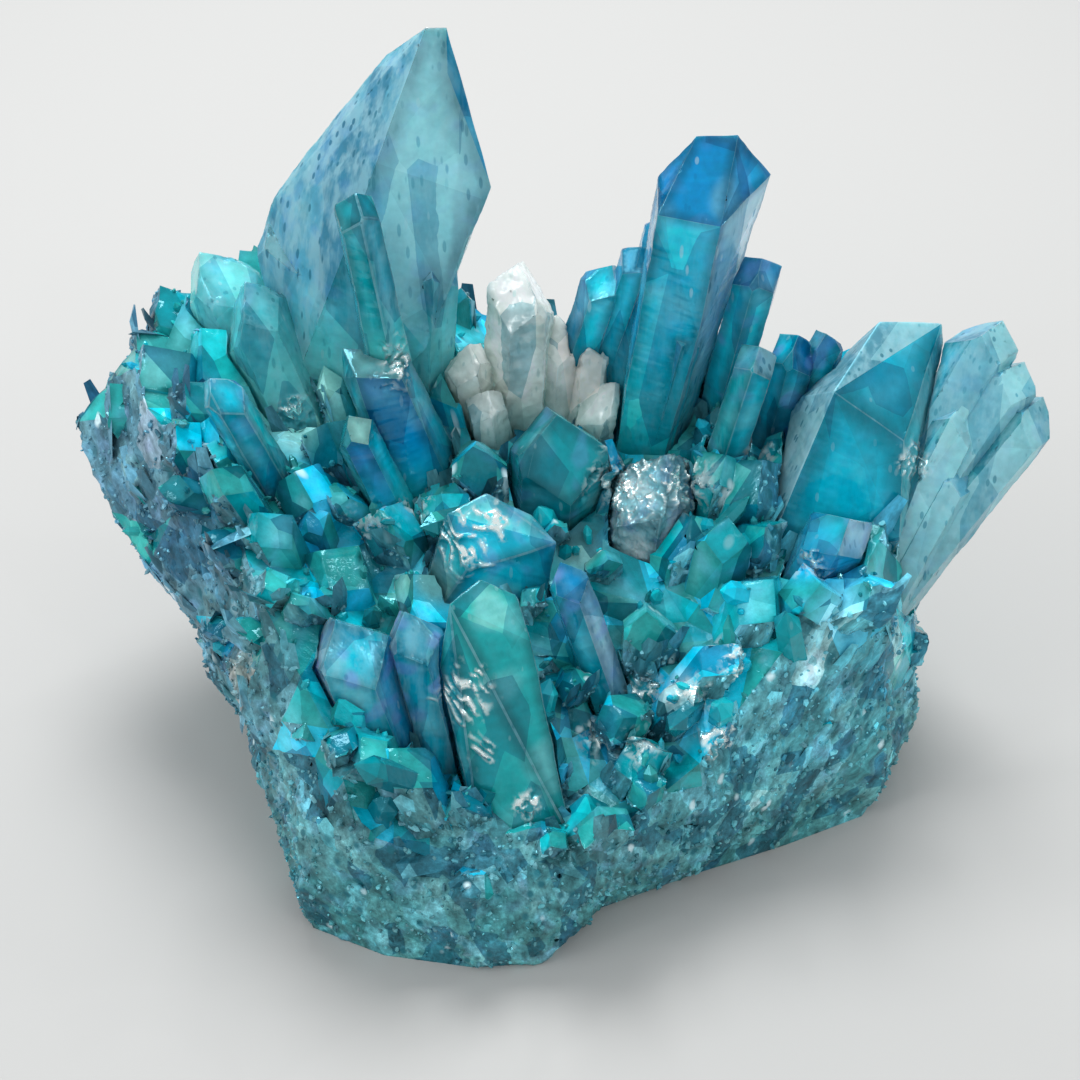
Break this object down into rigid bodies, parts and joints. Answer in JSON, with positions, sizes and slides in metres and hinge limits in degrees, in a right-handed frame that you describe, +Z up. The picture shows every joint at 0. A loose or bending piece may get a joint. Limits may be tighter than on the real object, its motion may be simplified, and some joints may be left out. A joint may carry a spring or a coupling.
{
  "type": "aura quartz cluster",
  "caption": "Hand-size cluster of blue aura-coated quartz points standing in a rough druzy base with a flat broken underside.",
  "frame": {"origin": "middle of the cluster's box, at its underside, where the broken rock rests", "axes": "+Z up from the flat underside, +X to the fan of crystals at the right, -Y to the low front of the bed"},
  "size_m": [0.1012, 0.0706, 0.078],
  "materials": {
    "matrix": "rough druzy quartz rock with a teal coating",
    "blade_crystal": "pale blue coated quartz, pitted on its broad face",
    "front_prism": "dark teal coated quartz",
    "tall_crystal": "bright blue coated quartz, glossy",
    "small_tower_back": "deep blue coated quartz, glossy",
    "small_tower_front": "sparkling light blue coated quartz",
    "twin_towers": "blue coated quartz",
    "slab_crystal": "blue coated quartz with a frosted top face",
    "fan_crystals": "pale streaky blue coated quartz",
    "milky_crystals": "clear to milky quartz with hardly any coating",
    "dark_centre_crystal": "dark teal coated quartz",
    "silver_crystal": "broken quartz with a silvery coating",
    "capped_crystal": "deep blue coated quartz with a silvery broken top",
    "striped_crystal": "blue coated quartz with a striped silvery break",
    "iridescent_prism": "iridescent blue coated quartz",
    "green_crystal": "green-blue coated quartz with a silvery broken patch",
    "lavender_crystals": "blue and lavender coated quartz",
    "left_rim_crystal": "dark teal coated quartz",
    "glowing_crystal": "deep blue coated quartz, glossy"
  },
  "bodies": {
    "root": {"matrix": "matrix", "blade_crystal": "blade_crystal", "front_prism": "front_prism", "tall_crystal": "tall_crystal", "small_tower_back": "small_tower_back", "small_tower_front": "small_tower_front", "twin_towers": "twin_towers", "slab_crystal": "slab_crystal", "fan_crystals": "fan_crystals", "milky_crystals": "milky_crystals", "dark_centre_crystal": "dark_centre_crystal", "silver_crystal": "silver_crystal", "capped_crystal": "capped_crystal", "striped_crystal": "striped_crystal", "iridescent_prism": "iridescent_prism", "green_crystal": "green_crystal", "lavender_crystals": "lavender_crystals", "left_rim_crystal": "left_rim_crystal", "glowing_crystal": "glowing_crystal"}
  },
  "joints": []
}
